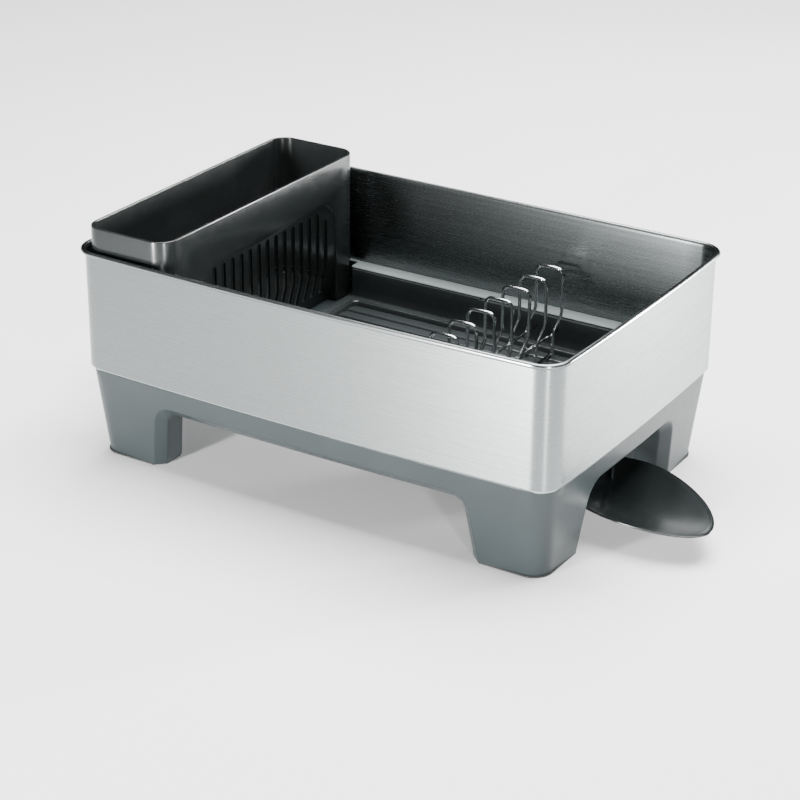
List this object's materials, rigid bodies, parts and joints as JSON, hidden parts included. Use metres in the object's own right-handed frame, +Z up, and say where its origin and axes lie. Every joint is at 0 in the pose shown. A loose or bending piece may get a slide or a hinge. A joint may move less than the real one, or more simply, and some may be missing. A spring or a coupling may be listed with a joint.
{
  "type": "dish drying rack",
  "caption": "Brushed steel dish drying rack on a grey moulded base, with a dark drip tray, lift-out cutlery caddy, wire plate rack and swivelling leaf-shaped spout.",
  "frame": {"origin": "on the floor, under the middle of the whole outline, spout included; the steel box's own middle is 40 mm towards -X", "axes": "+X along the rack towards the spout, +Y towards the back, +Z up; the caddy is at the -X end"},
  "size_m": [0.5474, 0.3094, 0.2086],
  "materials": {
    "sleeve_steel": "brushed",
    "base_plastic": "fine satin",
    "tray_plastic": "soft gloss",
    "caddy_plastic": "satin",
    "spout_plastic": "soft gloss",
    "foot_rubber": "matt",
    "ring_steel": "satin",
    "wire_chrome": "polished"
  },
  "bodies": {
    "base": {"base_frame": "base_plastic", "drip_tray": "tray_plastic", "steel_sleeve": "sleeve_steel", "drain_outlet": "tray_plastic", "retaining_ring": "ring_steel", "foot_front_left": "foot_rubber", "foot_front_right": "foot_rubber", "foot_back_left": "foot_rubber", "foot_back_right": "foot_rubber"},
    "caddy": {"cutlery_caddy": "caddy_plastic"},
    "spout": {"drain_spout": "spout_plastic"},
    "plate_rack": {"plate_hoop_1": "wire_chrome", "plate_hoop_2": "wire_chrome", "plate_hoop_3": "wire_chrome", "plate_hoop_4": "wire_chrome", "plate_hoop_5": "wire_chrome", "plate_hoop_6": "wire_chrome", "plate_hoop_7": "wire_chrome", "plate_hoop_8": "wire_chrome", "rail_left": "wire_chrome", "rail_right": "wire_chrome", "runner_left": "wire_chrome", "runner_right": "wire_chrome"}
  },
  "joints": [
    {"name": "spout_swivel", "type": "hinge", "parent": "base", "child": "spout", "pos_m": [0.152, 0, 0.03], "axis": [0, 0, 1], "range_deg": [0, 38]},
    {"name": "caddy_lift", "type": "slide", "parent": "base", "child": "caddy", "axis": [0, 0, 1], "range_m": [0, 0.15]},
    {"name": "plate_rack_lift", "type": "slide", "parent": "base", "child": "plate_rack", "axis": [0, 0, 1], "range_m": [0, 0.13]}
  ]
}
